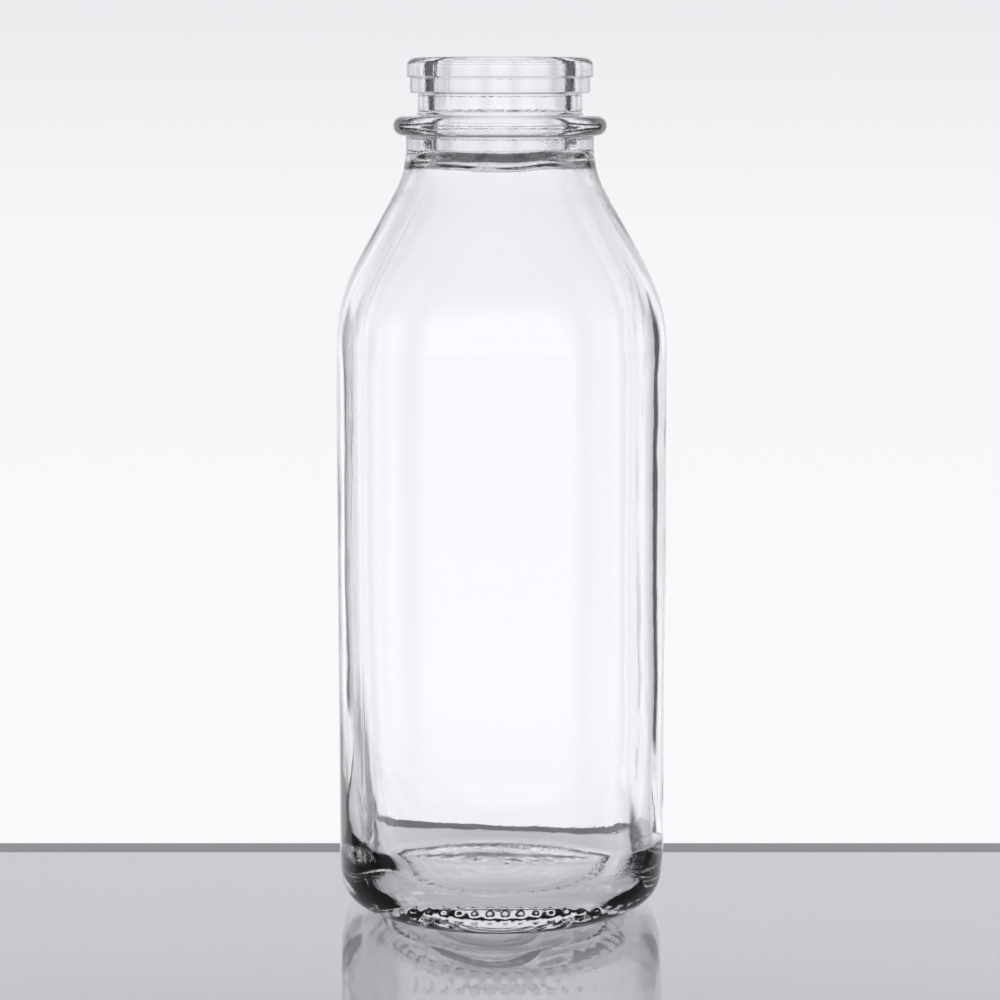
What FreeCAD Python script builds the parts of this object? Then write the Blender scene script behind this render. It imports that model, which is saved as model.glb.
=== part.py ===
import FreeCAD, Part
import math
import os

import Sketcher

# Square glass milk bottle with a snap-cap finish: one blow-moulded piece of clear glass.
# Millimetres and degrees. Z is up, and the origin is the centre of the bearing ring on which
# the bottle stands. The front panel faces -Y.

NODE = "glass_bottle"
UP = FreeCAD.Vector(0, 0, 1)

DIMENSIONS = {
    # Square body, measured outside
    "body_half": (42.7, "half the width across the flat panels"),
    "panel_half": (19.7, "half the width of a flat panel; the rest of the side is corner"),
    "body_top": (150.0, "height at which the shoulder starts"),
    # Heel, from the round bearing ring up into the square body
    "bearing_outer": (32.8, "outer radius of the flat ring on which the bottle stands"),
    "bearing_width": (1.2, "width of that ring"),
    "heel_rise": (10.7, "height at which the heel's curve meets a flat panel"),
    "heel_fullness": (0.92, "exponent of the heel's curve: 1 is an ellipse, less is fuller"),
    "square_from": (21.0, "height at which the section has become fully square"),
    # Shoulder and neck
    "shoulder_radius": (43.0, "radius of the convex curve above the panels"),
    "shoulder_slope": (28.9, "slope of the straight part, from the vertical"),
    "neck_fillet": (24.0, "radius of the concave curve below the neck"),
    "neck_radius": (24.4, "outer radius of the neck band"),
    "neck_band": (8.0, "height of the neck band, up to the bead's ledge"),
    # Finish: bead, recess and the two rings that hold a snap cap
    "bead_proud": (3.27, "how far the transfer bead stands out from the neck band"),
    "bead_tube": (2.6, "half the height of the bead, which is rounded above and below"),
    "bead_land": (0.05, "what is left flat of that half height between the two roundings"),
    "bore_radius": (17.2, "radius of the mouth's bore"),
    "finish_wall": (4.1, "glass round the bore in the recess between the bead and the rings"),
    "recess_height": (5.8, "height of that recess"),
    "low_ring_proud": (2.0, "how far the lower ring stands out from the recess"),
    "low_ring_height": (4.0, "height of the lower ring"),
    "cap_ring_proud": (0.8, "how far the upper ring, a 48 mm finish, stands out from the lower"),
    "cap_ring_height": (5.1, "height of the upper ring"),
    "lip_outer_fillet": (2.3, "rounding outside the lip"),
    "lip_inner_fillet": (2.0, "rounding inside the lip"),
    "ledge_fillet": (1.2, "rounding where the recess meets the bead's ledge"),
    "ring_fillet": (0.35, "rounding under each ring"),
    # Glass thickness and the inside
    "wall": (2.4, "thickness of the side walls"),
    "floor_height": (7.0, "height of the inside floor"),
    "floor_inset": (10.0, "width of the rounding between the inside floor and a wall"),
    "inner_heel_rise": (15.5, "height of that rounding"),
    "floor_square": (0.25, "how square the floor's outline is: 0 is round, 1 is as the walls"),
    "inner_corner_gain": (0.5, "how much more the inside corners are rounded"),
    "collar_drop": (3.4, "how far the bore runs below the top of the neck's curve"),
    # Underside
    "push_up": (3.2, "height of the underside's dome at the centre"),
    "push_up_step": (1.3, "height of the steep edge inside the bearing ring"),
    "push_up_slant": (2.4, "width of that steep edge, measured towards the axis"),
    "knurl_count": (48, "grip notches round the bearing ring"),
    "knurl_radius": (0.7, "radius of one notch's section"),
    "knurl_length": (3.4, "length of one notch"),
    "knurl_margin": (0.3, "plain strip between the notches and the bearing ring"),
    # Raised beads across the front of the heel
    "heel_bead_count": (13, "raised beads in the row"),
    "heel_bead_pitch": (3.9, "distance from one bead to the next"),
    "heel_bead_height": (6.4, "height of the row above the bearing ring"),
    "heel_bead_tall": (1.8, "half the height of one bead"),
    "heel_bead_wide": (1.05, "half the width of one bead"),
    "heel_bead_proud": (0.6, "half the thickness of one bead, which stands half out"),
    # Ring left on the inside floor by the parison
    "floor_mark_radius": (22.8, "radius of the ring on the inside floor"),
    "floor_mark_offset": (-2.7, "its distance from the axis along X"),
    "floor_mark_tube": (0.5, "radius of its own section"),
    # How the lofted sections are drawn
    "least_flat": (0.3, "half length of the flats in a section that is nearly round"),
    "short_arc": (6.0, "half angle of the short arcs of a round section, in degrees"),
}

doc = FreeCAD.newDocument("MilkBottle")
sheet = doc.addObject("Spreadsheet::Sheet", "Dims")


def fill_sheet():
    """One row per driving dimension: its note, and its value under its alias."""
    for row, (alias, (value, note)) in enumerate(DIMENSIONS.items(), start=1):
        sheet.set(f"A{row}", note)
        sheet.set(f"B{row}", str(value))
        sheet.setAlias(f"B{row}", alias)
    doc.recompute()


def size(alias):
    """The value that the sheet holds under this alias."""
    return float(sheet.get(alias))


fill_sheet()
body = doc.addObject("PartDesign::Body", "Bottle")
body.Label = NODE

# Heights and widths that follow from the driving dimensions, as expressions of the sheet.
SLOPE = "Dims.shoulder_slope"
BOTH_CURVES = "(Dims.shoulder_radius + Dims.neck_fillet)"
CONE_DROP = f"(Dims.body_half - Dims.neck_radius - {BOTH_CURVES} * (1 - cos({SLOPE})))"
CONE_TOP = f"(Dims.body_top + Dims.shoulder_radius * sin({SLOPE}) + {CONE_DROP} / tan({SLOPE}))"
NECK_Z = f"({CONE_TOP} + Dims.neck_fillet * sin({SLOPE}))"
LEDGE_Z = f"({NECK_Z} + Dims.neck_band)"
LOW_RING_Z = f"({LEDGE_Z} + Dims.recess_height)"
CAP_RING_Z = f"({LOW_RING_Z} + Dims.low_ring_height)"
TOP_Z = f"({CAP_RING_Z} + Dims.cap_ring_height)"
COLLAR_Z = f"({NECK_Z} - Dims.collar_drop)"
BEARING_INNER = "(Dims.bearing_outer - Dims.bearing_width)"
PUSH_UP_RADIUS = f"({BEARING_INNER} - Dims.push_up_slant)"
BEAD_RADIUS = "(Dims.neck_radius + Dims.bead_proud)"
RECESS_RADIUS = "(Dims.bore_radius + Dims.finish_wall)"
LOW_RING_RADIUS = f"({RECESS_RADIUS} + Dims.low_ring_proud)"
CAP_RING_RADIUS = f"({LOW_RING_RADIUS} + Dims.cap_ring_proud)"
INNER_HALF = "(Dims.body_half - Dims.wall)"
FLOOR_HALF = f"({INNER_HALF} - Dims.floor_inset)"
INNER_PANEL = "(Dims.panel_half - Dims.inner_corner_gain)"


def value_of(expression):
    """The number that an expression of the sheet comes to."""
    return float(doc.Dims.evalExpression(expression))


def origin_plane(role):
    """The body's own origin plane of this role."""
    return next(f for f in body.Origin.OriginFeatures if f.Role == role)


def new_sketch(name, height, role="XY_Plane"):
    """A sketch on an origin plane of the body, raised to a height given as an expression."""
    sketch = body.newObject("Sketcher::SketchObject", name)
    sketch.AttachmentSupport = [(origin_plane(role), "")]
    sketch.MapMode = "FlatFace"
    if height is not None:
        sketch.setExpression("AttachmentOffset.Base.z", height)
    return sketch


def bind(sketch, name, constraint, expression):
    """Adds a dimension to a sketch and binds it to an expression of the sheet."""
    index = sketch.addConstraint(constraint)
    sketch.renameConstraint(index, name)
    sketch.setExpression(f"Constraints.{name}", expression)


def rounded_square(name, height, half, flat):
    """A square section with round corners: half is half its width, flat half of a flat side."""
    sketch = new_sketch(name, height)
    w, f = value_of(half), value_of(flat)
    r = w - f
    for turn in range(4):
        a = turn * math.pi / 2
        c, s = round(math.cos(a)), round(math.sin(a))

        def at(x, y):
            return FreeCAD.Vector(x * c - y * s, x * s + y * c, 0)

        sketch.addGeometry(Part.LineSegment(at(w, -f), at(w, f)))
        corner = Part.Circle(at(f, f), UP, r)
        sketch.addGeometry(Part.ArcOfCircle(corner, a, a + math.pi / 2))
    for side in range(0, 8, 2):
        sketch.addConstraint(Sketcher.Constraint("Tangent", side, 2, side + 1, 1))
        sketch.addConstraint(Sketcher.Constraint("Tangent", side + 1, 2, (side + 2) % 8, 1))
        if side:
            sketch.addConstraint(Sketcher.Constraint("Equal", 1, side + 1))
    sketch.addConstraint(Sketcher.Constraint("Vertical", 4))
    sketch.addConstraint(Sketcher.Constraint("Horizontal", 6))
    sketch.addConstraint(Sketcher.Constraint("Symmetric", 0, 1, 0, 2, -1))
    sketch.addConstraint(Sketcher.Constraint("Symmetric", 2, 1, 2, 2, -2))
    bind(sketch, "half_width", Sketcher.Constraint("DistanceX", -1, 1, 0, 2, w), half)
    bind(sketch, "half_depth", Sketcher.Constraint("DistanceY", -1, 1, 2, 1, w), half)
    bind(sketch, "corner", Sketcher.Constraint("Radius", 1, r), f"{half} - ({flat})")
    return sketch


def round_section(name, height, radius):
    """A circle in eight arcs, so that a loft joins each to a side or a corner of a square."""
    sketch = new_sketch(name, height)
    r = value_of(radius)
    seam = math.radians(size("short_arc"))
    circle = Part.Circle(FreeCAD.Vector(), UP, r)
    for turn in range(4):
        a = turn * math.pi / 2
        sketch.addGeometry(Part.ArcOfCircle(circle, a - seam, a + seam))
        sketch.addGeometry(Part.ArcOfCircle(circle, a + seam, a + math.pi / 2 - seam))
    for arc in range(7):
        span = 2 * seam if arc % 2 == 0 else math.pi / 2 - 2 * seam
        sketch.addConstraint(Sketcher.Constraint("Coincident", arc, 3, -1, 1))
        sketch.addConstraint(Sketcher.Constraint("Coincident", arc, 2, arc + 1, 1))
        sketch.addConstraint(Sketcher.Constraint("Angle", arc, span))
    sketch.addConstraint(Sketcher.Constraint("Coincident", 7, 2, 0, 1))
    sketch.addConstraint(Sketcher.Constraint("Equal", 0, 7))
    sketch.addConstraint(Sketcher.Constraint("Vertical", 0, 1, 0, 2))
    bind(sketch, "radius", Sketcher.Constraint("Radius", 1, r), radius)
    return sketch


def flat_for(squareness):
    """Half of a flat side, from nearly nothing at 0 to the full panel at 1."""
    return f"(Dims.least_flat + (Dims.panel_half - Dims.least_flat) * ({squareness}))"


def heel_flat(z):
    """Half of a flat side of the heel's section at this height."""
    return flat_for(f"1 - pow(1 - {z} / Dims.square_from; 1.5)")


HEEL_TOP_FLAT = heel_flat("Dims.heel_rise")


def heel_stations():
    """Sections of the heel's curve, from just above the bearing ring up to a flat panel."""
    made = []
    for angle in (15, 30, 45, 60, 75, 90):
        across = f"pow(sin({angle}); Dims.heel_fullness)"
        upward = f"pow(cos({angle}); Dims.heel_fullness)" if angle < 90 else "0"
        z = f"(Dims.heel_rise * (1 - {upward}))"
        half = f"(Dims.bearing_outer + (Dims.body_half - Dims.bearing_outer) * {across})"
        made.append((z, half, heel_flat(z)))
    return made


def corner_stations():
    """Sections above the heel's curve, where only the corners still change."""
    made = []
    for share in (0.33, 0.67, 1):
        z = f"(Dims.heel_rise + (Dims.square_from - Dims.heel_rise) * {share})"
        made.append((z, "Dims.body_half", heel_flat(z)))
    return made


def shoulder_stations(inset):
    """Sections of the shoulder, inset by a wall: (height, half width, flat), ending below the neck."""
    near = f"(Dims.shoulder_radius - {inset})"
    far = f"(Dims.neck_fillet + {inset})"
    points = []
    for share in (0.35, 0.7, 1):
        a = f"({share} * {SLOPE})"
        z = f"(Dims.body_top + {near} * sin({a}))"
        points.append((z, f"(Dims.body_half - Dims.shoulder_radius + {near} * cos({a}))"))
    for share in (1, 0.6):
        a = f"({share} * {SLOPE})"
        z = f"({NECK_Z} - {far} * sin({a}))"
        points.append((z, f"(Dims.neck_radius + Dims.neck_fillet - {far} * cos({a}))"))
    made = []
    for z, half in points:
        rise = f"(({z} - Dims.body_top) / ({NECK_Z} - Dims.body_top))"
        square = f"1 - pow({rise}; 2) * (3 - 2 * {rise})"
        made.append((z, half, flat_for(square)))
    return made


def loft(kind, name, sections, ruled=False):
    """A loft through sketches, in order."""
    feature = body.newObject(f"PartDesign::{kind}", name)
    feature.Profile = sections[0]
    feature.Sections = sections[1:]
    feature.Ruled = ruled
    doc.recompute()
    return feature


def squares(prefix, stations):
    """A rounded square sketch for each station."""
    return [
        rounded_square(f"{prefix}_{i:02d}", z, half, flat)
        for i, (z, half, flat) in enumerate(stations)
    ]


def heel():
    """The solid heel, from the bearing ring up to the flat panels."""
    foot = round_section("foot_circle", "0", "Dims.bearing_outer")
    curve = squares("heel", heel_stations())
    loft("AdditiveLoft", "foot", [foot, curve[0]])
    loft("AdditiveLoft", "heel_curve", curve)


def panels_and_shoulder():
    """The square body and its shoulder, up to the start of the neck."""
    start = rounded_square("corner_start", "Dims.heel_rise", "Dims.body_half", HEEL_TOP_FLAT)
    corners = [start] + squares("corner", corner_stations())
    loft("AdditiveLoft", "heel_corners", corners, ruled=True)
    panels = body.newObject("PartDesign::Pad", "panels")
    panels.Profile = corners[-1]
    panels.setExpression("Length", "Dims.body_top - Dims.square_from")
    doc.recompute()
    top = rounded_square("shoulder_start", "Dims.body_top", "Dims.body_half", flat_for("1"))
    neck = round_section("neck_circle", NECK_Z, "Dims.neck_radius")
    shoulder = squares("shoulder", shoulder_stations("0"))
    loft("AdditiveLoft", "shoulder_curve", [top] + shoulder + [neck])


def inner_floor_stations():
    """Sections of the inside from the flat floor up to the walls."""
    made = []
    for angle in (0, 20, 40, 60, 75, 90):
        rise = f"(1 - cos({angle}))"
        z = f"(Dims.floor_height + Dims.inner_heel_rise * {rise})"
        half = f"({FLOOR_HALF} + Dims.floor_inset * sin({angle}))"
        flat = f"({INNER_PANEL} * (Dims.floor_square + (1 - Dims.floor_square) * {rise}))"
        made.append((z, half, flat))
    return made


def cavity():
    """The inside, from the floor up through the bore to the lip."""
    low = "(Dims.floor_height + Dims.inner_heel_rise)"
    floor = squares("floor", inner_floor_stations())
    loft("SubtractiveLoft", "inside_heel", floor)
    walls = rounded_square("inside_walls", low, INNER_HALF, INNER_PANEL)
    panels = body.newObject("PartDesign::Pocket", "inside_panels")
    panels.Profile = walls
    panels.Reversed = True
    panels.setExpression("Length", f"Dims.body_top - {low}")
    doc.recompute()
    stations = [("Dims.body_top", INNER_HALF, INNER_PANEL)]
    stations += [(z, half, f"({flat} * 0.85)") for z, half, flat in shoulder_stations("Dims.wall")]
    sections = squares("inside_shoulder", stations)
    sections.append(round_section("collar_circle", COLLAR_Z, "Dims.bore_radius"))
    loft("SubtractiveLoft", "inside_top", sections)
    cylinder("Subtractive", "bore", "Dims.bore_radius", COLLAR_Z, f"{TOP_Z} - {COLLAR_Z}")
    fillet("lip_inside", "Dims.lip_inner_fillet", [(TOP_Z, "Dims.bore_radius")])


def raised(feature, height):
    """Puts a primitive on the body's XY plane at a height given as an expression."""
    feature.AttachmentSupport = [(origin_plane("XY_Plane"), "")]
    feature.MapMode = "FlatFace"
    feature.setExpression("AttachmentOffset.Base.z", height)


def cylinder(kind, name, radius, bottom, height):
    """A cylinder about the axis, added or taken away."""
    feature = body.newObject(f"PartDesign::{kind}Cylinder", name)
    raised(feature, bottom)
    feature.setExpression("Radius", radius)
    feature.setExpression("Height", height)
    doc.recompute()
    return feature


def circles_at(feature, height, radius):
    """Names of the circular edges of a feature at this height and of this radius."""
    names = []
    for number, edge in enumerate(feature.Shape.Edges, start=1):
        if edge.Degenerated:
            continue
        curve = edge.Curve
        if curve.TypeId != "Part::GeomCircle" or abs(curve.Radius - radius) > 1e-4:
            continue
        if abs(curve.Center.z - height) < 1e-4:
            names.append(f"Edge{number}")
    if not names:
        raise RuntimeError(f"no circle of radius {radius} at height {height} on {feature.Name}")
    return names


def fillet(name, radius, circles):
    """Rounds the circles given as (height, radius) expressions."""
    base = body.Tip
    names = []
    for height, circle in circles:
        names += circles_at(base, value_of(height), value_of(circle))
    feature = body.newObject("PartDesign::Fillet", name)
    feature.Base = (base, names)
    feature.setExpression("Radius", radius)
    doc.recompute()
    return feature


def finish_rings():
    """Neck band, transfer bead, recess and the two rings of the snap-cap finish."""
    bead_z = f"({LEDGE_Z} - 2 * Dims.bead_tube)"
    cylinder("Additive", "neck_band", "Dims.neck_radius", NECK_Z, "Dims.neck_band")
    cylinder("Additive", "bead", BEAD_RADIUS, bead_z, "2 * Dims.bead_tube")
    cylinder("Additive", "recess", RECESS_RADIUS, LEDGE_Z, "Dims.recess_height")
    cylinder("Additive", "low_ring", LOW_RING_RADIUS, LOW_RING_Z, "Dims.low_ring_height")
    cylinder("Additive", "cap_ring", CAP_RING_RADIUS, CAP_RING_Z, "Dims.cap_ring_height")


def finish_fillets():
    """Roundings of the finish, from the bead up to the lip."""
    bead_z = f"({LEDGE_Z} - 2 * Dims.bead_tube)"
    bead_round = "Dims.bead_tube - Dims.bead_land"
    fillet("bead_round", bead_round, [(LEDGE_Z, BEAD_RADIUS), (bead_z, BEAD_RADIUS)])
    fillet("ledge_round", "Dims.ledge_fillet", [(LEDGE_Z, RECESS_RADIUS)])
    under = [(LOW_RING_Z, LOW_RING_RADIUS), (CAP_RING_Z, CAP_RING_RADIUS)]
    fillet("ring_rounds", "Dims.ring_fillet", under)
    fillet("lip_outside", "Dims.lip_outer_fillet", [(TOP_Z, CAP_RING_RADIUS)])


def push_up():
    """The dome under the bottle, inside the bearing ring, cut by a groove about the axis."""
    sketch = new_sketch("push_up_profile", None, "XZ_Plane")
    inner, top = value_of(BEARING_INNER), value_of(PUSH_UP_RADIUS)
    step, rise = size("push_up_step"), size("push_up")
    foot = FreeCAD.Vector(inner, 0, 0)
    edge = FreeCAD.Vector(top, step, 0)
    crown = FreeCAD.Vector(0, rise, 0)
    sketch.addGeometry(Part.LineSegment(FreeCAD.Vector(), foot))
    sketch.addGeometry(Part.LineSegment(foot, edge))
    drop = rise - step
    dome = (top**2 + drop**2) / (2 * drop)
    circle = Part.Circle(FreeCAD.Vector(0, rise - dome, 0), UP, dome)
    start = math.atan2(step - rise + dome, top)
    sketch.addGeometry(Part.ArcOfCircle(circle, start, math.pi / 2))
    sketch.addGeometry(Part.LineSegment(crown, FreeCAD.Vector()))
    sketch.addConstraint(Sketcher.Constraint("Coincident", 0, 1, -1, 1))
    sketch.addConstraint(Sketcher.Constraint("Horizontal", 0))
    sketch.addConstraint(Sketcher.Constraint("Coincident", 0, 2, 1, 1))
    sketch.addConstraint(Sketcher.Constraint("Coincident", 1, 2, 2, 1))
    sketch.addConstraint(Sketcher.Constraint("Coincident", 2, 2, 3, 1))
    sketch.addConstraint(Sketcher.Constraint("Coincident", 3, 2, -1, 1))
    sketch.addConstraint(Sketcher.Constraint("Vertical", 3))
    sketch.addConstraint(Sketcher.Constraint("PointOnObject", 2, 3, -2))
    bind(sketch, "foot", Sketcher.Constraint("DistanceX", -1, 1, 0, 2, inner), BEARING_INNER)
    bind(sketch, "edge", Sketcher.Constraint("DistanceX", -1, 1, 1, 2, top), PUSH_UP_RADIUS)
    bind(sketch, "step", Sketcher.Constraint("DistanceY", -1, 1, 1, 2, step), "Dims.push_up_step")
    bind(sketch, "rise", Sketcher.Constraint("DistanceY", -1, 1, 2, 2, rise), "Dims.push_up")
    groove = body.newObject("PartDesign::Groove", "push_up")
    groove.Profile = sketch
    groove.ReferenceAxis = (sketch, ["V_Axis"])
    groove.Angle = 360
    doc.recompute()
    return groove


def knurling():
    """Short radial notches in the steep edge inside the bearing ring."""
    notch = body.newObject("PartDesign::SubtractiveCylinder", "knurl_notch")
    notch.AttachmentSupport = [(origin_plane("YZ_Plane"), "")]
    notch.MapMode = "FlatFace"
    start = f"{BEARING_INNER} - Dims.knurl_margin - Dims.knurl_length"
    notch.setExpression("AttachmentOffset.Base.z", start)
    notch.setExpression("AttachmentOffset.Base.y", "Dims.push_up_step * 0.5")
    notch.setExpression("Radius", "Dims.knurl_radius")
    notch.setExpression("Height", "Dims.knurl_length")
    doc.recompute()
    ring = body.newObject("PartDesign::PolarPattern", "knurling")
    ring.Originals = [notch]
    z_axis = next(f for f in body.Origin.OriginFeatures if f.Role == "Z_Axis")
    ring.Axis = (z_axis, [""])
    ring.Angle = 360
    ring.setExpression("Occurrences", "Dims.knurl_count")
    body.Tip = ring
    doc.recompute()
    return ring


def floor_mark():
    """The low ring that stands half out of the inside floor, a little off the axis."""
    mark = body.newObject("PartDesign::AdditiveTorus", "floor_mark")
    raised(mark, "Dims.floor_height")
    mark.setExpression("AttachmentOffset.Base.x", "Dims.floor_mark_offset")
    mark.setExpression("Radius1", "Dims.floor_mark_radius")
    mark.setExpression("Radius2", "Dims.floor_mark_tube")
    doc.recompute()


def heel_beads():
    """A row of raised oval beads across the front of the heel, following its curve."""
    z = "Dims.heel_bead_height"
    rise = f"(1 - {z} / Dims.heel_rise)"
    angle = f"acos(pow({rise}; 1 / Dims.heel_fullness))"
    across = f"pow(sin({angle}); Dims.heel_fullness)"
    half = f"(Dims.bearing_outer + (Dims.body_half - Dims.bearing_outer) * {across})"
    flat = value_of(heel_flat(z))
    corner = value_of(half) - flat
    count = int(size("heel_bead_count"))
    for i in range(count):
        x = (i - (count - 1) / 2) * size("heel_bead_pitch")
        beyond = max(abs(x) - flat, 0)
        y = -(flat + math.sqrt(corner**2 - beyond**2))
        bead = body.newObject("PartDesign::AdditiveEllipsoid", f"heel_bead_{i + 1:02d}")
        raised(bead, z)
        turn = math.degrees(math.asin(beyond / corner)) * (1 if x > 0 else -1)
        spin = FreeCAD.Rotation(UP, turn)
        offset = FreeCAD.Placement(FreeCAD.Vector(x, y, size("heel_bead_height")), spin)
        bead.AttachmentOffset = offset
        bead.setExpression("Radius1", "Dims.heel_bead_tall")
        bead.setExpression("Radius2", "Dims.heel_bead_wide")
        bead.setExpression("Radius3", "Dims.heel_bead_proud")
        doc.recompute()


def check_features():
    """Stops the build if a feature failed, gave no shape or gave an invalid one."""
    for item in body.Group:
        bad = [state for state in item.State if state in ("Invalid", "Error")]
        if bad or item.Shape.isNull():
            raise RuntimeError(f"{item.Name} has state {item.State}")
    shape = body.Shape
    if not shape.isValid() or len(shape.Solids) != 1:
        raise RuntimeError(f"{body.Label} is not one valid solid")


heel()
heel_beads()
panels_and_shoulder()
finish_rings()
finish_fillets()
cavity()
push_up()
knurling()
floor_mark()
check_features()
os.makedirs("parts", exist_ok=True)
body.Shape.exportStep(f"parts/{NODE}.step")
print(f"{NODE}: {body.Shape.Volume / 1000:.1f} mL of glass, top at {body.Shape.BoundBox.ZMax:.2f} mm")
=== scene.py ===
import math

import bpy
import numpy as np
from bpy.props import FloatProperty, FloatVectorProperty, IntProperty, PointerProperty
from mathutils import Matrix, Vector, noise


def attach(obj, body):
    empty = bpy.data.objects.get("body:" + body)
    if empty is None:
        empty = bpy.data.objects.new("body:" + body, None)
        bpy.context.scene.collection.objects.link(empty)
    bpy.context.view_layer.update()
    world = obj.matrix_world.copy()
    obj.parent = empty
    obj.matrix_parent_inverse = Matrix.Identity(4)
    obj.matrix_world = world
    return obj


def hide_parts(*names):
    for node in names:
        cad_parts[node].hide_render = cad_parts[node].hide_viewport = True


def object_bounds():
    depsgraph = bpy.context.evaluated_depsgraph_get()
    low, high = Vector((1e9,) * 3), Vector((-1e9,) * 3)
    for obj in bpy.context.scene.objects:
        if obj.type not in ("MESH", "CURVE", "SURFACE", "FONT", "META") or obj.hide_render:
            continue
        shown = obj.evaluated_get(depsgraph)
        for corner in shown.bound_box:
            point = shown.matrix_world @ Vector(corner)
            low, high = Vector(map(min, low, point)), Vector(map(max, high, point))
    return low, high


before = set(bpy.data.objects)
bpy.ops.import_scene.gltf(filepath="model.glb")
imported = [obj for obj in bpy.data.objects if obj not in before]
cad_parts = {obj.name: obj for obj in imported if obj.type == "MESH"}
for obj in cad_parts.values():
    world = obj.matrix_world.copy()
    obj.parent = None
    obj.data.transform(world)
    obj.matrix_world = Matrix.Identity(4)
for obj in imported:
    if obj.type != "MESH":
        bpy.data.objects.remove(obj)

bl_info = {
    "name": "Square glass milk bottle",
    "version": (1, 0, 0),
    "blender": (4, 5, 0),
    "location": "3D View > Sidebar > Bottle",
    "description": "Builds a square milk bottle of clear blown glass and the table it stands on",
    "category": "Object",
}

CAD_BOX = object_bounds()
# One millimetre in metres: the bottle's sizes are in millimetres, and the stage's in metres
MM = 0.001
NODE = "glass_bottle"
HEIGHT_MM = CAD_BOX[1].z / MM
BODY_HALF_MM = CAD_BOX[1].x / MM
# Underside: the dome's height, and the height and width of its steep edge
PUSH_UP = 3.2
PUSH_UP_STEP = 1.3
PUSH_UP_SLANT = 2.4
# Grip notches in that edge: depth, and the radii between which they run
KNURL_DEPTH = 0.6
KNURL_FROM, KNURL_TO = 27.8, 31.4
# Raised beads of the heel: height of the row, and half the width and height of one
HEEL_BEAD_Z = 6.4
HEEL_BEAD_WIDE, HEEL_BEAD_TALL = 1.05, 1.8
# Finish: heights from the neck up, and radii of its rings
NECK_BAND = 8.0
RECESS_HEIGHT = 5.8
LOW_RING_HEIGHT = 4.0
RECESS_RADIUS, LOW_RING_RADIUS, CAP_RING_RADIUS = 21.3, 23.3, 24.1
# Transfer bead: half its height, and how far the centre of its rounding is outside the neck
BEAD_TUBE, BEAD_OUT = 2.6, 0.67
LIP_OUTER_FILLET, LIP_INNER_FILLET = 2.3, 2.0
# Collar, where the bore opens into the shoulder: its width, height and unevenness
COLLAR_STEP, COLLAR_HEIGHT, COLLAR_SWING = 3.9, 4.2, 1.6
# Ring that the blowing left on the inside floor: radius, place along X and stretch along Y
FLOOR_MARK_RADIUS, FLOOR_MARK_X, FLOOR_MARK_STRETCH = 22.8, -3.5, 1.25
# How strongly the cold mould pitted the glass, by height
CHILL_STOPS = (
    (0.0, 0.1), (12.0, 0.1), (17.0, 0.5), (24.0, 0.2), (34.0, 0.0),
    (180.0, 0.05), (194.0, 0.8), (214.0, 0.4),
)
# Dark strips of the studio, each as (degrees from straight behind the bottle, darkness): narrow
# ones at all heights, and a wide one near the horizon
NARROW_STRIPS = (
    (0.0, 0.0), (13.0, 0.0), (16.0, 0.25), (26.0, 0.25), (29.0, 0.0), (56.0, 0.0), (59.0, 1.0),
    (76.0, 1.0), (79.0, 0.0), (103.0, 0.0), (106.0, 1.0), (120.0, 1.0), (123.0, 0.0),
    (148.0, 0.0), (151.0, 0.8), (164.0, 0.8), (167.0, 0.0),
)
WIDE_STRIP = ((0.0, 0.0), (37.0, 0.0), (42.0, 1.0), (76.0, 1.0), (79.0, 0.0))
# How much of the wide strip shows, by the height of a direction, from -1 below to 1 above
WIDE_HEIGHTS = ((-0.27, 0.0), (-0.245, 1.0), (0.14, 1.0), (0.20, 0.0))
# Brightness of the studio by the height of a direction
STUDIO_HEIGHTS = (
    (-1.0, (0.80, 0.80, 0.82)),
    (-0.45, (0.93, 0.93, 0.955)),
    (-0.22, (0.955, 0.955, 0.98)),
    (-0.05, (0.925, 0.925, 0.95)),
    (0.03, (0.83, 0.83, 0.855)),
    (0.30, (0.90, 0.90, 0.925)),
    (0.55, (0.20, 0.20, 0.21)),
    (1.0, (0.10, 0.10, 0.105)),
)
STRIP_COLOUR = (0.05, 0.05, 0.055)
# How much brighter the studio is to the glass and the table than to the camera
UNSEEN_GAIN = 0.08


def mm_property(name, description, default, low=0.0, high=500.0):
    """A length in millimetres that a user can set."""
    return FloatProperty(
        name=name, description=description, default=default, min=low, max=high, subtype="NONE"
    )


def colour_property(name, description, default):
    """A colour that a user can set."""
    return FloatVectorProperty(
        name=name, description=description, default=default, min=0.0, max=1.0, size=3,
        subtype="COLOR",
    )


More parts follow.
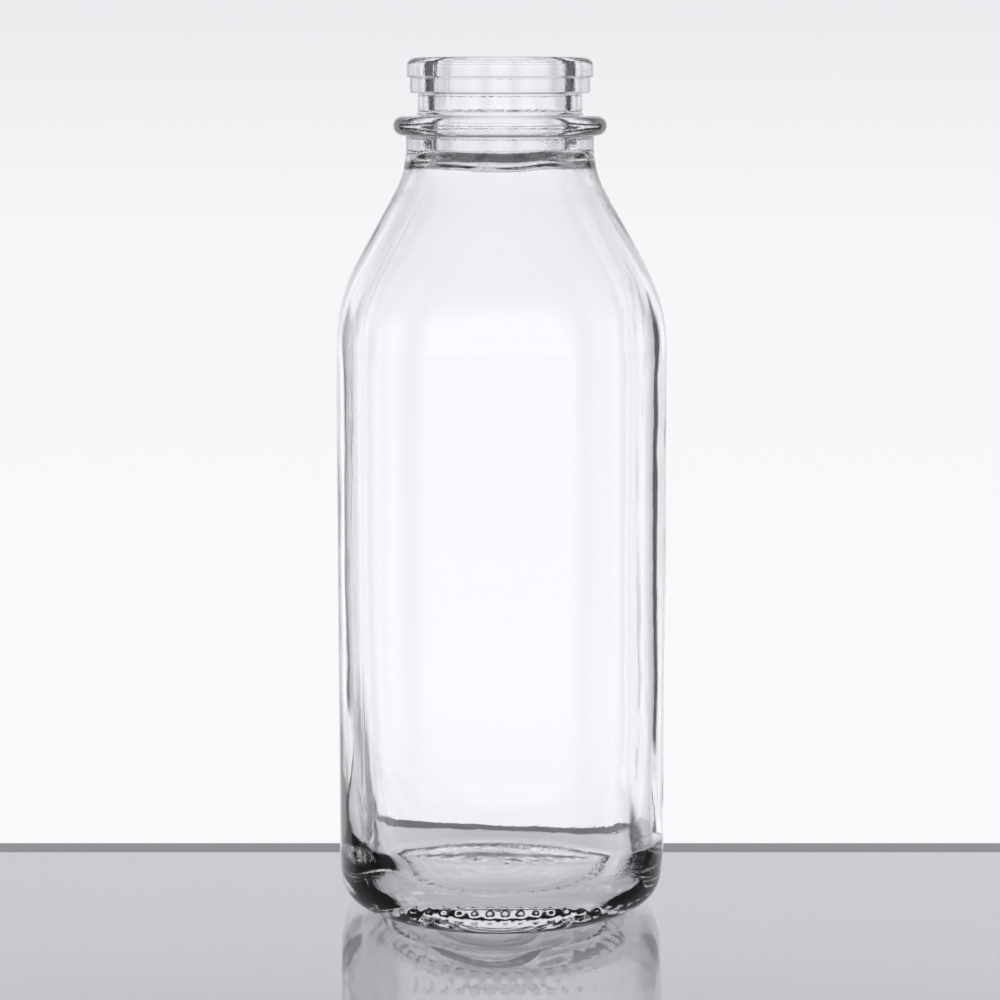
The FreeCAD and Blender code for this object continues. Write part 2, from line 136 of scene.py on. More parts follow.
class BottleSizes(bpy.types.PropertyGroup):
    """Sizes of the bottle, in millimetres."""

    body_half: mm_property("Body half width", "Half the width across the panels", BODY_HALF_MM)
    panel_half: mm_property("Panel half width", "Half the width of a flat panel", 19.7)
    body_top: mm_property("Shoulder start", "Height at which the shoulder starts", 150.0)
    bearing_outer: mm_property("Bearing ring", "Outer radius of the ring it stands on", 32.8)
    bearing_inner: mm_property("Bearing ring inside", "Inner radius of that ring", 31.6)
    heel_rise: mm_property("Heel height", "Height of the heel's curve on a panel", 10.7)
    heel_fullness: FloatProperty(
        name="Heel fullness", description="Exponent of the heel's curve",
        default=0.92, min=0.5, max=1.5,
    )
    square_from: mm_property("Square from", "Height at which the section is fully square", 21.0)
    shoulder_radius: mm_property("Shoulder radius", "Radius of the curve above the panels", 43.0)
    shoulder_slope: FloatProperty(
        name="Shoulder slope", description="Slope of the shoulder from the vertical",
        default=math.radians(28.9), min=0.1, max=1.2, subtype="ANGLE",
    )
    neck_fillet: mm_property("Neck fillet", "Radius of the curve below the neck", 24.0)
    neck_radius: mm_property("Neck radius", "Outer radius of the neck band", 24.4)
    bore_radius: mm_property("Bore radius", "Radius of the mouth's bore", 17.2)
    wall: mm_property("Wall", "Thickness of the side walls", 2.4)
    corner_gain: mm_property("Corner gain", "How much rounder the inside corners are", 0.5)
    floor_height: mm_property("Floor height", "Height of the inside floor", 7.0)
    floor_inset: mm_property("Floor inset", "Width of the rounding beside the floor", 10.0)
    floor_rounding: mm_property("Floor rounding", "Height of that rounding", 15.5)
    floor_square: FloatProperty(
        name="Floor squareness", description="How square the floor is: 0 round, 1 as the walls",
        default=0.25, min=0.0, max=1.0,
    )
    floor_shift: mm_property(
        "Floor shift", "How far the inside of the heel sits to the right", 1.6, -5.0, 5.0
    )
    body_shift: mm_property(
        "Body shift", "How far the inside of the body sits to the left", 0.3, -2.0, 2.0
    )


class BottleDetail(bpy.types.PropertyGroup):
    """Small relief and unevenness of the glass."""

    wave: mm_property("Inside wave", "Depth of the slow waves of the inside wall", 0.15, 0.0, 2.0)
    ripple: mm_property("Inside ripple", "Depth of the small ripples of the inside", 0.03, 0.0, 1.0)
    slug: mm_property(
        "Heel thickening", "How much thicker the left wall is just above the heel", 1.5, 0.0, 4.0
    )
    skin_wave: mm_property("Outside wave", "Depth of the waves of the outside", 0.035, 0.0, 1.0)
    seam: mm_property("Mould seam", "How far the mould seams stand out", 0.03, 0.0, 1.0)
    beads: IntProperty(
        name="Heel beads", description="Raised beads across the front", default=13, min=0, max=40
    )
    bead_pitch: mm_property("Bead pitch", "Distance between the heel's beads", 3.9, 0.5, 20.0)
    bead_proud: mm_property("Bead height", "How far the heel's beads stand out", 0.26, 0.0, 2.0)
    knurls: IntProperty(
        name="Grip notches", description="Notches inside the bearing ring",
        default=48, min=0, max=200,
    )


class GlassLook(bpy.types.PropertyGroup):
    """Finish of the glass."""

    tint: colour_property("Tint", "Colour of the glass's surface", (0.99, 0.99, 0.995))
    depth_tint: colour_property(
        "Depth tint", "Colour that thick glass turns to", (0.83, 0.835, 0.84)
    )
    depth_density: FloatProperty(
        name="Depth density", description="Strength of the depth tint",
        default=14.0, min=0.0, max=500.0,
    )
    ior: FloatProperty(
        name="Refraction", description="Index of refraction of the glass",
        default=1.5, min=1.0, max=2.5,
    )


class StageLook(bpy.types.PropertyGroup):
    """Table, light and camera."""

    sheet_colour: colour_property("Table", "Colour of the pale table", (0.64, 0.64, 0.67))
    # Painted light: the underlay glows in this colour only where it is seen through the glass,
    # standing in for light the glass would gather on the table
    painted_glow_colour: colour_property(
        "Glow", "Light that the glass gathers on the table", (0.30, 0.30, 0.315)
    )
    edge_behind: mm_property("Table edge", "How far behind the bottle the table ends", 53.2)
    sheet_depth: mm_property("Sheet depth", "Depth at which the clear sheet's underlay shows", 2.7)
    yaw: FloatProperty(
        name="Yaw", description="Turn of the camera round the bottle",
        default=math.radians(-1.8), subtype="ANGLE",
    )
    camera_back: mm_property("Camera distance", "Level distance of the camera", 734.4, 1.0, 5000.0)
    camera_up: mm_property("Camera height", "Height of the camera over the table", 216.6)
    camera_tilt: FloatProperty(
        name="Camera tilt", description="How far the camera looks down",
        default=math.radians(8.423), subtype="ANGLE",
    )
    lens: FloatProperty(
        name="Lens", description="Focal length in millimetres on a 36 mm sensor",
        default=101.24, min=10.0, max=500.0, subtype="NONE",
    )


# ---------------------------------------------------------------------------------------------
# Shape of the bottle, in millimetres


def around():
    """Directions of the mesh's upright lines: even, but closer at the front and at the seams."""
    degrees = list(np.arange(0.0, 360.0, 2.0))
    degrees += list(np.arange(236.0, 304.0, 0.6))
    for seam in (45.0, 225.0):
        degrees += list(seam + np.arange(-1.5, 1.51, 0.25))
    degrees = np.unique(np.round(np.mod(degrees, 360.0), 3))
    gaps = np.diff(np.append(degrees, degrees[0] + 360.0))
    keep = [d for d, gap in zip(degrees, gaps) if gap > 0.2]
    return np.radians(np.array(keep))


def outline(theta, half, flat):
    """Distance from the axis to a square with soft corners, in each direction.

    flat is half of the flat side of the plain rounded square whose corners reach as far out.
    """
    power = 1 / (0.5 - math.log2(1 + (math.sqrt(2) - 1) * flat / half))
    x, y = np.abs(np.cos(theta)), np.abs(np.sin(theta))
    return half / (x**power + y**power) ** (1 / power)


def arc(cx, cz, radius, start, stop, count):
    """Points (r, z) along an arc, angles in degrees from the outward direction."""
    turns = np.radians(np.linspace(start, stop, count))
    return [(cx + radius * math.cos(t), cz + radius * math.sin(t)) for t in turns]


def smooth(x):
    """0 to 1 with level ends."""
    x = np.clip(x, 0.0, 1.0)
    return x * x * (3 - 2 * x)


class Profile:
    """Heights and half widths of the bottle, from its sizes."""

    def __init__(self, sizes):
        self.s = sizes
        slope = sizes.shoulder_slope
        both = sizes.shoulder_radius + sizes.neck_fillet
        drop = sizes.body_half - sizes.neck_radius - both * (1 - math.cos(slope))
        self.cone_top = (
            sizes.body_top + sizes.shoulder_radius * math.sin(slope) + drop / math.tan(slope)
        )
        self.neck = self.cone_top + sizes.neck_fillet * math.sin(slope)

    def flat_share(self, z):
        """How square the outside is at a height: 0 round, 1 fully square."""
        s = self.s
        if z < s.square_from:
            return 1 - (1 - z / s.square_from) ** 1.5
        return 1 - float(smooth((z - s.body_top) / (self.neck - s.body_top)))

    def shoulder(self, inset, count):
        """(half width, height) from the panels to the neck, for the outside or an inset inside."""
        s = self.s
        slope = math.degrees(s.shoulder_slope)
        near, far = s.shoulder_radius - inset, s.neck_fillet + inset
        low = arc(s.body_half - s.shoulder_radius, s.body_top, near, 0, slope, count)
        high = arc(s.neck_radius + s.neck_fillet, self.neck, -far, slope, 0, count)
        start, stop = low[-1], high[0]
        middle = [
            (start[0] + (stop[0] - start[0]) * t, start[1] + (stop[1] - start[1]) * t)
            for t in np.linspace(0, 1, 8)[1:-1]
        ]
        return low + middle + high

    def heel_half(self, z):
        """Half width of the heel at a height."""
        s = self.s
        c = max(0.0, 1 - z / s.heel_rise) ** (1 / s.heel_fullness)
        across = max(0.0, 1 - c * c) ** (0.5 * s.heel_fullness)
        return s.bearing_outer + (s.body_half - s.bearing_outer) * across


def underside_rings(p):
    """Rings of the underside, from near the axis out to the bearing ring: (half, flat, z)."""
    s = p.s
    rim = s.bearing_inner - PUSH_UP_SLANT
    rings = []
    for r in list(np.linspace(1.5, rim - 1.6, 14)) + [rim - 1.2, rim - 0.8, rim - 0.4, rim]:
        rings.append((r, 0.0, PUSH_UP - (PUSH_UP - PUSH_UP_STEP) * (r / rim) ** 2))
    for t in (0.15, 0.3, 0.45, 0.6, 0.75, 0.9, 0.97):
        rings.append((rim + PUSH_UP_SLANT * t, 0.0, PUSH_UP_STEP * (1 - t)))
    rings.append((s.bearing_inner, 0.0, 0.0))
    rings.append((s.bearing_inner + 0.3, 0.0, 0.0))
    rings.append(((s.bearing_inner + s.bearing_outer) / 2, 0.0, 0.0))
    rings.append((s.bearing_outer - 0.2, 0.0, 0.0))
    return rings


def outside_rings(p):
    """Rings of the outside, from the bearing ring up to the start of the finish."""
    s = p.s
    heights = [0.0, 0.04, 0.12, 0.25, 0.45, 0.7, 1.05, 1.5, 2.0, 2.6, 3.2, 3.8]
    heights += list(np.arange(4.2, 8.7, 0.4)) + [9.2, 9.8, s.heel_rise]
    heights += list(np.linspace(s.heel_rise, s.square_from, 8)[1:])
    rings = [(p.heel_half(z), s.panel_half * p.flat_share(z), z) for z in heights]
    for z in np.linspace(s.square_from, s.body_top, 28)[1:-1]:
        rings.append((s.body_half, s.panel_half, float(z)))
    for half, z in p.shoulder(0.0, 14):
        rings.append((half, s.panel_half * p.flat_share(z), z))
    return rings


def finish_rings(p):
    """Round rings of the neck band, bead, recess, cap rings and lip, down into the bore."""
    s = p.s
    top = HEIGHT_MM
    ledge = p.neck + NECK_BAND
    low = ledge + RECESS_HEIGHT
    cap = low + LOW_RING_HEIGHT
    bead = s.neck_radius + BEAD_OUT
    recess, low_r, cap_r = RECESS_RADIUS, LOW_RING_RADIUS, CAP_RING_RADIUS
    outer, inner = LIP_OUTER_FILLET, LIP_INNER_FILLET
    points = [(s.neck_radius, p.neck + t) for t in (0.8, 1.6, 2.0)]
    points += arc(s.neck_radius + 0.75, ledge - 5.75, 0.75, 180, 100, 5)
    points += arc(bead, ledge - BEAD_TUBE, BEAD_TUBE, -78, 90, 19)
    points += [(bead - 0.4, ledge), (bead - 1.4, ledge)]
    points += arc(recess + 1.2, ledge + 1.2, 1.2, 270, 180, 7)
    points += [(recess, low - 3.0), (recess, low - 1.2)]
    points += arc(recess + 0.5, low - 0.5, 0.5, 180, 90, 5)
    points += [(recess + 1.0, low)]
    points += arc(low_r - 0.4, low + 0.4, 0.4, -90, 0, 5)
    points += [(low_r, low + 1.2), (low_r, cap - 1.2), (low_r, cap - 0.5)]
    points += arc(low_r + 0.22, cap - 0.22, 0.22, 180, 90, 4)
    points += arc(cap_r - 0.35, cap + 0.35, 0.35, -90, 0, 5)
    points += [(cap_r, cap + 0.9), (cap_r, top - 3.4), (cap_r, top - 2.7)]
    points += arc(cap_r - outer, top - outer, outer, 0, 90, 11)
    points += [((cap_r + s.bore_radius) / 2, top)]
    points += arc(s.bore_radius + inner, top - inner, inner, 90, 180, 10)
    points += [(s.bore_radius, top - t) for t in (3.0, 5.0, 8.0, 11.0, 14.0, 17.0, 20.0)]
    return [(r, 0.0, h) for r, h in points]


def inside_rings(p):
    """Rings of the inside, from the collar down the walls and over the floor to the axis."""
    s = p.s
    inner_panel = s.panel_half - s.corner_gain
    shoulder = p.shoulder(s.wall, 16)[::-1]
    rings = []
    start = p.neck - 0.6
    for t in np.linspace(0, 1, 12):
        across = s.bore_radius + COLLAR_STEP * float(smooth(t))
        rings.append((across, 0.0, start - COLLAR_HEIGHT * t))
    for half, z in shoulder:
        if z < start - COLLAR_HEIGHT - 0.4:
            rings.append((half, inner_panel * p.flat_share(z) * 0.95, z))
    low = s.floor_height + s.floor_rounding
    half = s.body_half - s.wall
    for z in np.linspace(s.body_top, low, 42)[1:-1]:
        rings.append((half, inner_panel, float(z)))
    floor_half = half - s.floor_inset
    for turn in np.linspace(90, 0, 20):
        t = math.radians(turn)
        rise = 1 - math.cos(t)
        across = floor_half + s.floor_inset * math.sin(t)
        flat = inner_panel * (s.floor_square + (1 - s.floor_square) * rise)
        rings.append((across, flat, s.floor_height + s.floor_rounding * rise))
    for r in np.linspace(floor_half, 1.0, 36)[1:]:
        flat = inner_panel * s.floor_square * (r / floor_half) ** 2
        rings.append((float(r), flat, s.floor_height))
    return rings


def rings_to_points(rings, theta):
    """Points of all the rings, as an array (ring, direction, xyz)."""
    points = np.zeros((len(rings), len(theta), 3))
    for i, (half, flat, z) in enumerate(rings):
        far = outline(theta, half, flat)
        points[i, :, 0] = far * np.cos(theta)
        points[i, :, 1] = far * np.sin(theta)
        points[i, :, 2] = z
    return points


def field(points, scale, seed, stretch=(1.0, 1.0, 1.0)):
    """Smooth noise, about -1 to 1, at each point; scale is the size of its waves."""
    flat = points.reshape(-1, 3) / scale / np.array(stretch)
    offset = Vector((seed * 7.31, seed * 3.77, seed * 5.13))
    values = [noise.noise(Vector(q) + offset) for q in flat]
    return np.array(values).reshape(points.shape[:-1])


def normals_of(points):
    """Unit normals of a grid of rings, pointing to the left of its upward lines."""
    around_way = np.roll(points, -1, axis=1) - np.roll(points, 1, axis=1)
    up_way = np.gradient(points, axis=0)
    cross = np.cross(around_way, up_way)
    return cross / np.maximum(np.linalg.norm(cross, axis=2, keepdims=True), 1e-9)


def pulse(x, width):
    """A soft bump of height 1 and this half width."""
    return np.exp(-((x / width) ** 2))


def outer_relief(p, points, detail):
    """How far each outside point moves out: waves, seams and the row of beads."""
    x, y, z = points[..., 0], points[..., 1], points[..., 2]
    body = smooth(z / 12.0) * (1 - smooth((z - p.neck + 6) / 8.0))
    move = detail.skin_wave * body * field(points, 17.0, 1, (1, 1, 1.6))
    finish = smooth((z - p.neck - 2) / 3.0)
    across = (x - y) / math.sqrt(2)
    ridge = pulse(across, 0.45) * np.where(z > 1.5, 1.0, smooth(z / 1.5))
    move = move + detail.seam * ridge * (1 - 0.45 * finish)
    for i in range(detail.beads):
        cx = (i - (detail.beads - 1) / 2) * detail.bead_pitch
        off = ((x - cx) / HEEL_BEAD_WIDE) ** 2 + ((z - HEEL_BEAD_Z) / HEEL_BEAD_TALL) ** 2
        front = (y < 0) & (abs(z - HEEL_BEAD_Z) < 2 * HEEL_BEAD_TALL)
        move = move + np.where(front, detail.bead_proud * smooth((1.4 - off) / 1.3), 0.0)
    return move


def knurl_lift(points, detail):
    """Height that the grip notches add to the underside."""
    x, y = points[..., 0], points[..., 1]
    r = np.hypot(x, y)
    turn = np.arctan2(y, x) / (2 * math.pi) * detail.knurls
    notch = pulse(np.abs(np.mod(turn + 0.5, 1.0) - 0.5), 0.2)
    ends = smooth((r - KNURL_FROM) / 0.8) * smooth((KNURL_TO - r) / 0.6)
    return KNURL_DEPTH * notch * ends


def inner_relief(p, points, detail):
    """How far each inside point moves towards the axis: the blown wall's unevenness."""
    s = p.s
    z = points[..., 2]
    body = smooth((z - s.floor_height - 2.0) / 10.0) * (1 - smooth((z - p.neck + 4.0) / 5.0))
    slow = field(points, 30.0, 2, (1, 1, 2.0))
    mid = field(points, 12.0, 3, (1, 1, 2.4))
    small = field(points, 4.5, 4)
    waves = detail.wave * slow + 0.4 * detail.wave * mid + detail.ripple * small
    left = 0.3 + np.clip(-points[..., 0] / s.body_half, 0.0, 1.0)
    slug = detail.slug * left * (1 - smooth((z - 16.0) / 50.0)) ** 1.5
    return body * (waves + slug)


def collar_drop(p, points):
    """The collar's uneven lower edge: how far each point there moves down."""
    z = points[..., 2]
    near = pulse(z - (p.neck - 4.0), 4.5)
    slow = field(points * np.array([1, 1, 0.0]), 24.0, 5)
    small = field(points * np.array([1, 1, 0.2]), 6.0, 6)
    return near * COLLAR_SWING * (slow + 0.25 * small)


def floor_relief(p, points):
    """Rings and swirls that the blowing left on the inside floor."""
    x, y = points[..., 0] - FLOOR_MARK_X, points[..., 1] / FLOOR_MARK_STRETCH
    z = points[..., 2]
    r = np.hypot(x, y)
    turn = np.arctan2(y, x)
    low = 1 - smooth((z - p.s.floor_height - 0.5) / 3.0)
    mark = 0.30 * pulse(r - FLOOR_MARK_RADIUS, 0.6) + 0.08 * pulse(r - 20.2, 0.9)
    swirl = 0.05 * np.sin(r * 1.55 + turn * 1.0 + 0.8 * np.sin(turn * 2)) * smooth((r - 3) / 5.0)
    lump = 0.07 * field(points, 9.0, 7)
    within = 1 - smooth((r - FLOOR_MARK_RADIUS - 1.7) / 2.0)
    return low * (mark + (swirl + lump) * within)


def bottle_mesh(sizes, detail):
    """The closed glass wall: underside, outside, finish, inside and floor in one grid of rings."""
    p = Profile(sizes)
    theta = around()
    under = rings_to_points(underside_rings(p), theta)
    under[..., 2] += knurl_lift(under, detail)
    outer = rings_to_points(outside_rings(p) + finish_rings(p), theta)
    outer += normals_of(outer) * outer_relief(p, outer, detail)[..., None]
    inner = rings_to_points(inside_rings(p), theta)
    inner += normals_of(inner) * inner_relief(p, inner, detail)[..., None]
    inner[..., 2] -= collar_drop(p, inner)
    inner[..., 2] += floor_relief(p, inner)
    height = inner[..., 2]
    in_body = smooth((height - 30.0) / 60.0) * (1 - smooth((height - sizes.body_top) / 30.0))
    inner[..., 0] += sizes.floor_shift * (1 - smooth((height - sizes.floor_height) / 22.0))
    inner[..., 0] -= sizes.body_shift * in_body
    grid = np.concatenate([under, outer, inner])
    rings, count = grid.shape[:2]
    points = grid.reshape(-1, 3)
    centre_low = np.array([[0.0, 0.0, under[0, :, 2].mean() + 0.01]])
    centre_high = np.array([[0.0, 0.0, inner[-1, :, 2].mean()]])
    points = np.concatenate([points, centre_low, centre_high]) * MM
    here = np.arange(count)
    after = np.roll(here, -1)
    faces = []
    for i in range(rings - 1):
        a, b = i * count, (i + 1) * count
        faces += np.stack([a + here, a + after, b + after, b + here], axis=1).tolist()
    low, high = rings * count, rings * count + 1
    last = (rings - 1) * count
    faces += np.stack([np.full(count, low), after, here], axis=1).tolist()
    faces += np.stack([np.full(count, high), last + here, last + after], axis=1).tolist()
    mesh = bpy.data.meshes.new("milk_bottle_glass")
    mesh.from_pydata(points.tolist(), [], faces)
    mesh.polygons.foreach_set("use_smooth", [True] * len(mesh.polygons))
    mesh.update()
    return mesh


# ---------------------------------------------------------------------------------------------
# Materials


def new_material(name):
    """An empty node material with its output."""
    material = bpy.data.materials.new(name)
    material.use_nodes = True
    tree = material.node_tree
    tree.nodes.clear()
    return material, tree, tree.nodes.new("ShaderNodeOutputMaterial")


def add_math(tree, operation, *values):
    """A math node of values that are sockets or numbers."""
    node = tree.nodes.new("ShaderNodeMath")
    node.operation = operation
    for socket, value in zip(node.inputs, values):
        if isinstance(value, (int, float)):
            socket.default_value = value
        else:
            tree.links.new(value, socket)
    return node.outputs[0]


def fill_ramp(node, stops):
    """Sets a colour ramp's stops, each a position and a colour."""
    elements = node.color_ramp.elements
    while len(elements) < len(stops):
        elements.new(0.5)
    for element, (position, colour) in zip(elements, stops):
        element.position = position
        element.color = (*colour, 1.0)


def grey_ramp(tree, factor, stops):
    """A number read off a ramp of (position, level) stops at this factor."""
    ramp = tree.nodes.new("ShaderNodeValToRGB")
    tree.links.new(factor, ramp.inputs["Fac"])
    fill_ramp(ramp, [(position, (level, level, level)) for position, level in stops])
    return ramp.outputs["Color"]


def clear_glass(look):
    """Clear glass: surface waves, fine pitting by height, and a faint tint in its depth."""
    material, tree, output = new_material("clear_blown_glass")
    glass = tree.nodes.new("ShaderNodeBsdfPrincipled")
    glass.inputs["Base Color"].default_value = (*look.tint, 1.0)
    glass.inputs["Roughness"].default_value = 0.0
    glass.inputs["IOR"].default_value = look.ior
    glass.inputs["Transmission Weight"].default_value = 1.0
    place = tree.nodes.new("ShaderNodeTexCoord")
    waves = tree.nodes.new("ShaderNodeTexNoise")
    waves.inputs["Scale"].default_value = 95.0
    waves.inputs["Detail"].default_value = 1.5
    bump = tree.nodes.new("ShaderNodeBump")
    bump.inputs["Strength"].default_value = 0.12
    bump.inputs["Distance"].default_value = 0.0004
    grain = tree.nodes.new("ShaderNodeTexNoise")
    grain.inputs["Scale"].default_value = 1900.0
    grain.inputs["Detail"].default_value = 1.0
    split = tree.nodes.new("ShaderNodeSeparateXYZ")
    height = add_math(tree, "MULTIPLY", split.outputs[2], 1 / (HEIGHT_MM * MM))
    chilled = grey_ramp(tree, height, [(z / HEIGHT_MM, level) for z, level in CHILL_STOPS])
    pitted = tree.nodes.new("ShaderNodeBump")
    pitted.inputs["Distance"].default_value = 0.00004
    depth = tree.nodes.new("ShaderNodeVolumeAbsorption")
    depth.inputs["Color"].default_value = (*look.depth_tint, 1.0)
    depth.inputs["Density"].default_value = look.depth_density
    link = tree.links.new
    link(place.outputs["Object"], waves.inputs["Vector"])
    link(waves.outputs["Fac"], bump.inputs["Height"])
    link(place.outputs["Object"], grain.inputs["Vector"])
    link(place.outputs["Object"], split.inputs[0])
    link(chilled, pitted.inputs["Strength"])
    link(grain.outputs["Fac"], pitted.inputs["Height"])
    link(bump.outputs["Normal"], pitted.inputs["Normal"])
    link(pitted.outputs["Normal"], glass.inputs["Normal"])
    link(glass.outputs["BSDF"], output.inputs["Surface"])
    link(depth.outputs["Volume"], output.inputs["Volume"])
    return material


def pale_sheet(look):
    """The underlay of the table: pale grey, polished, with a painted glow that shows only through
    the glass.
    """
    material, tree, output = new_material("pale_polished_underlay_painted_glow")
    sheet = tree.nodes.new("ShaderNodeBsdfPrincipled")
    sheet.inputs["Base Color"].default_value = (*look.sheet_colour, 1.0)
    sheet.inputs["Metallic"].default_value = 0.4
    sheet.inputs["Roughness"].default_value = 0.012
    sheet.inputs["IOR"].default_value = 1.6
    sheet.inputs["Emission Color"].default_value = (*look.painted_glow_colour, 1.0)
    # Painted glow: the underlay emits only on rays that came through the glass, so the table behind
    # and under the bottle looks lit
    paths = tree.nodes.new("ShaderNodeLightPath")
    tree.links.new(paths.outputs["Is Transmission Ray"], sheet.inputs["Emission Strength"])
    tree.links.new(sheet.outputs["BSDF"], output.inputs["Surface"])
    return material


def clear_sheet():
    """The clear top of the table, which only mirrors."""
    material, tree, output = new_material("clear_polished_top")
    through = tree.nodes.new("ShaderNodeBsdfTransparent")
    mirror = tree.nodes.new("ShaderNodeBsdfGlossy")
    mirror.inputs["Roughness"].default_value = 0.0
    edge_on = tree.nodes.new("ShaderNodeFresnel")
    edge_on.inputs["IOR"].default_value = 1.5
    side = tree.nodes.new("ShaderNodeNewGeometry")
    front = add_math(tree, "SUBTRACT", 1.0, side.outputs["Backfacing"])
    mix = tree.nodes.new("ShaderNodeMixShader")
    link = tree.links.new
    link(add_math(tree, "MULTIPLY", edge_on.outputs["Fac"], front), mix.inputs["Fac"])
    link(through.outputs["BSDF"], mix.inputs[1])
    link(mirror.outputs["BSDF"], mix.inputs[2])
    link(mix.outputs["Shader"], output.inputs["Surface"])
    return material


def sheet_edge():
    """The sawn back edge of the table's clear sheet."""
    material, tree, output = new_material("sawn_sheet_edge")
    edge = tree.nodes.new("ShaderNodeBsdfPrincipled")
    edge.inputs["Base Color"].default_value = (0.42, 0.42, 0.44, 1.0)
    edge.inputs["Roughness"].default_value = 0.5
    tree.links.new(edge.outputs["BSDF"], output.inputs["Surface"])
    return material


# ---------------------------------------------------------------------------------------------
# Operators


class OBJECT_OT_milk_bottle_glass(bpy.types.Operator):
    """Builds the bottle's glass in place of the plain solid"""

    bl_idname = "object.milk_bottle_glass"
    bl_label = "Bottle glass"

    def execute(self, context):
        scene = context.scene
        mesh = bottle_mesh(scene.bottle_sizes, scene.bottle_detail)
        mesh.materials.append(clear_glass(scene.bottle_glass))
        piece = bpy.data.objects.new("milk_bottle_glass", mesh)
        scene.collection.objects.link(piece)
        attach(piece, "root")
        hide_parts(NODE)
        # Clear glass passes the lamp's light on, and a plain shadow would be black
        piece.visible_shadow = False
        return {"FINISHED"}


class SCENE_OT_milk_bottle_stage(bpy.types.Operator):
    """Builds the table, the light and the camera"""

    bl_idname = "scene.milk_bottle_stage"
    bl_label = "Table, light and camera"

    def execute(self, context):
        stage = context.scene.bottle_stage
        build_table(context.scene, stage)
        build_world(context.scene, stage.yaw)
        build_lamps(context.scene)
        build_camera(context.scene, stage)
        return {"FINISHED"}


def flat_piece(name, points, faces, material):
    """A stage mesh of a few flat faces, in metres."""
    mesh = bpy.data.meshes.new(name)
    mesh.from_pydata(points, [], faces)
    mesh.materials.append(material)
    return bpy.data.objects.new(name, mesh)


def build_table(scene, stage):
    """A clear sheet on a pale underlay, both ending close behind the bottle."""
    # The top lies a hair below the bottle's foot, so that the two faces don't coincide
    back, front, side = stage.edge_behind * MM, -2.5, 2.5
    top, low, deep = -0.00005, -stage.sheet_depth * MM, -0.02
    plan = [(-side, front), (side, front), (side, back), (-side, back)]
    clear = [(x, y, top) for x, y in plan]
    under = [(x, y, low) for x, y in plan] + [(x, y, deep) for x, y in plan]
    edge = [(-side, back, low), (side, back, low), (side, back, top), (-side, back, top)]
    pieces = [
        flat_piece("table_clear_top", clear, [(0, 1, 2, 3)], clear_sheet()),
        flat_piece(
            "table_underlay", under,
            [(0, 1, 2, 3), (7, 6, 5, 4), (0, 4, 5, 1), (1, 5, 6, 2), (2, 6, 7, 3), (3, 7, 4, 0)],
            pale_sheet(stage),
        ),
        flat_piece("table_back_edge", edge, [(0, 1, 2, 3)], sheet_edge()),
    ]
    # The polished underlay would mirror the edge as a second line
    pieces[-1].visible_glossy = False
    for piece in pieces:
        piece.rotation_euler = (0, 0, stage.yaw)
        scene.collection.objects.link(piece)


def build_world(scene, turn):
    """A white surround with a dimmer ceiling, and dark strips that the camera doesn't see.

    The glass and the polished table still show the strips, as they show a studio's dark sides.
    """
    world = bpy.data.worlds.new("soft_studio")
    world.use_nodes = True
    tree = world.node_tree
    tree.nodes.clear()
    output = tree.nodes.new("ShaderNodeOutputWorld")
    background = tree.nodes.new("ShaderNodeBackground")
    place = tree.nodes.new("ShaderNodeTexCoord")
    split = tree.nodes.new("ShaderNodeSeparateXYZ")
    tree.links.new(place.outputs["Generated"], split.inputs[0])
    x, y, z = split.outputs
    height = add_math(tree, "MULTIPLY_ADD", z, 0.5, 0.5)
    ramp = tree.nodes.new("ShaderNodeValToRGB")
    tree.links.new(height, ramp.inputs["Fac"])
    fill_ramp(ramp, [(0.5 + level / 2, colour) for level, colour in STUDIO_HEIGHTS])
    cos, sin = math.cos(turn), math.sin(turn)
    across = add_math(tree, "MULTIPLY_ADD", x, cos, add_math(tree, "MULTIPLY", y, sin))
    along = add_math(tree, "MULTIPLY_ADD", x, -sin, add_math(tree, "MULTIPLY", y, cos))
    azimuth = add_math(tree, "ABSOLUTE", add_math(tree, "ARCTAN2", across, along))
    turned = add_math(tree, "MULTIPLY", azimuth, 1 / math.pi)
    narrow = grey_ramp(tree, turned, [(angle / 180, level) for angle, level in NARROW_STRIPS])
    wide = grey_ramp(tree, turned, [(angle / 180, level) for angle, level in WIDE_STRIP])
    window = grey_ramp(tree, height, [(0.5 + z / 2, level) for z, level in WIDE_HEIGHTS])
    strip = add_math(tree, "MAXIMUM", narrow, add_math(tree, "MULTIPLY", wide, window))
    paths = tree.nodes.new("ShaderNodeLightPath")
    unseen = add_math(tree, "SUBTRACT", 1.0, paths.outputs["Is Camera Ray"])
    mix = tree.nodes.new("ShaderNodeMix")
    mix.data_type = "RGBA"
    tree.links.new(add_math(tree, "MULTIPLY", strip, unseen), mix.inputs["Factor"])
    tree.links.new(ramp.outputs["Color"], mix.inputs[6])
    mix.inputs[7].default_value = (*STRIP_COLOUR, 1.0)
    tree.links.new(mix.outputs[2], background.inputs["Color"])
    strength = add_math(tree, "MULTIPLY_ADD", unseen, UNSEEN_GAIN, 1.0)
    tree.links.new(strength, background.inputs["Strength"])
    tree.links.new(background.outputs["Background"], output.inputs["Surface"])
    scene.world = world


def build_lamps(scene):
    """One wide soft lamp, overhead and behind the bottle's right."""
    data = bpy.data.lights.new("overhead_softbox", "AREA")
    data.shape = "RECTANGLE"
    data.size, data.size_y = 1.2, 0.9
    data.energy = 3.0
    lamp = bpy.data.objects.new("overhead_softbox", data)
    lamp.location = (0.35, 0.2, 0.9)
    lamp.visible_camera = False
    lamp.visible_glossy = False
    lamp.visible_transmission = False
    scene.collection.objects.link(lamp)


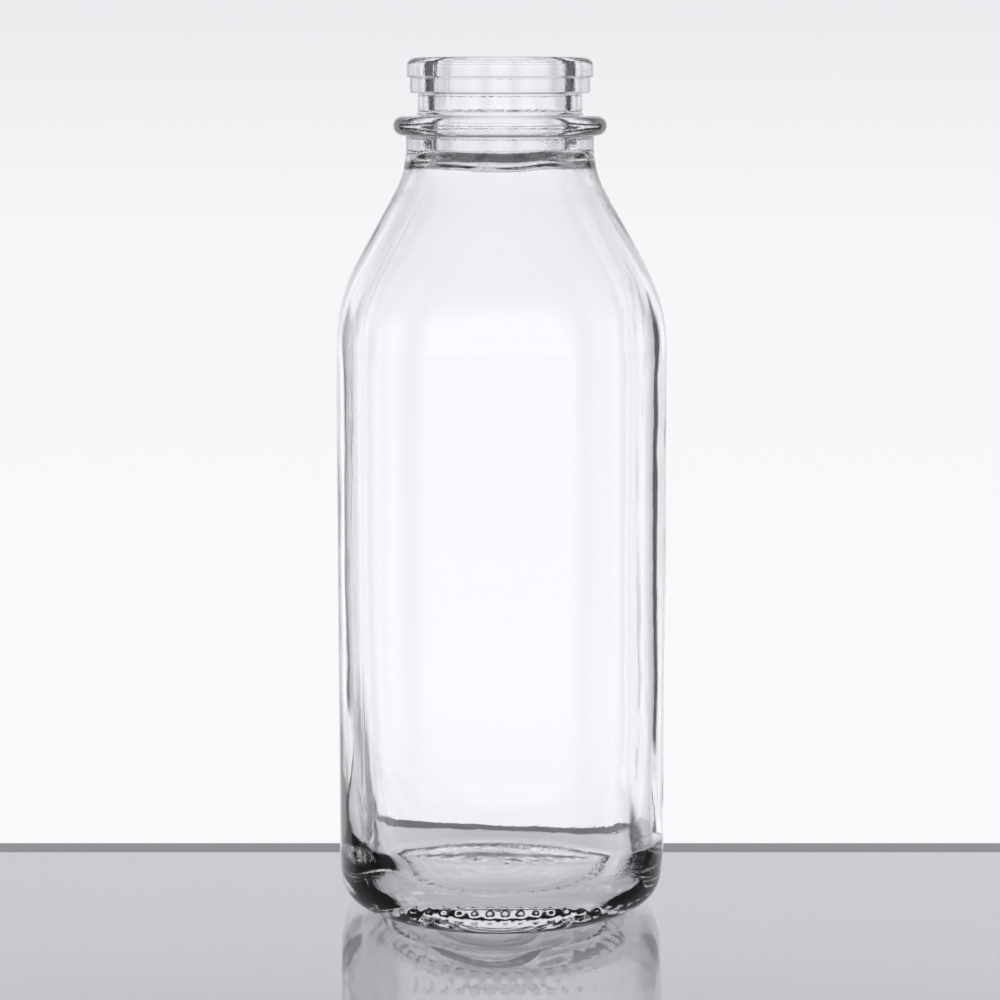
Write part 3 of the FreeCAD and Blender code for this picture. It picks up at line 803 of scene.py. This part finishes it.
def build_camera(scene, stage):
    """The camera in front of the bottle, a little above it and looking down."""
    data = bpy.data.cameras.new("front_camera")
    data.lens = stage.lens
    data.sensor_width = 36.0
    data.clip_start, data.clip_end = 0.01, 20.0
    camera = bpy.data.objects.new("front_camera", data)
    back, turn = stage.camera_back * MM, stage.yaw
    camera.location = (math.sin(turn) * back, -math.cos(turn) * back, stage.camera_up * MM)
    camera.rotation_euler = (math.pi / 2 - stage.camera_tilt, 0.0, turn)
    scene.collection.objects.link(camera)
    scene.camera = camera
    scene.view_settings.view_transform = "Standard"
    scene.view_settings.look = "None"


class VIEW3D_PT_milk_bottle(bpy.types.Panel):
    """Sidebar panel of the bottle"""

    bl_idname = "VIEW3D_PT_milk_bottle"
    bl_label = "Milk bottle"
    bl_space_type = "VIEW_3D"
    bl_region_type = "UI"
    bl_category = "Bottle"

    def draw(self, context):
        layout = self.layout
        for group in ("bottle_sizes", "bottle_detail", "bottle_glass", "bottle_stage"):
            box = layout.box()
            values = getattr(context.scene, group)
            for name in values.__annotations__:
                box.prop(values, name)
        for operator in (OBJECT_OT_milk_bottle_glass, SCENE_OT_milk_bottle_stage):
            layout.operator(operator.bl_idname)


CLASSES = (
    BottleSizes, BottleDetail, GlassLook, StageLook,
    OBJECT_OT_milk_bottle_glass, SCENE_OT_milk_bottle_stage, VIEW3D_PT_milk_bottle,
)


def register():
    for item in CLASSES:
        bpy.utils.register_class(item)
    bpy.types.Scene.bottle_sizes = PointerProperty(type=BottleSizes)
    bpy.types.Scene.bottle_detail = PointerProperty(type=BottleDetail)
    bpy.types.Scene.bottle_glass = PointerProperty(type=GlassLook)
    bpy.types.Scene.bottle_stage = PointerProperty(type=StageLook)


def unregister():
    for name in ("bottle_sizes", "bottle_detail", "bottle_glass", "bottle_stage"):
        delattr(bpy.types.Scene, name)
    for item in reversed(CLASSES):
        bpy.utils.unregister_class(item)


def main():
    """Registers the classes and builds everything."""
    register()
    bpy.ops.object.milk_bottle_glass()
    bpy.ops.scene.milk_bottle_stage()


if __name__ == "__main__":
    main()
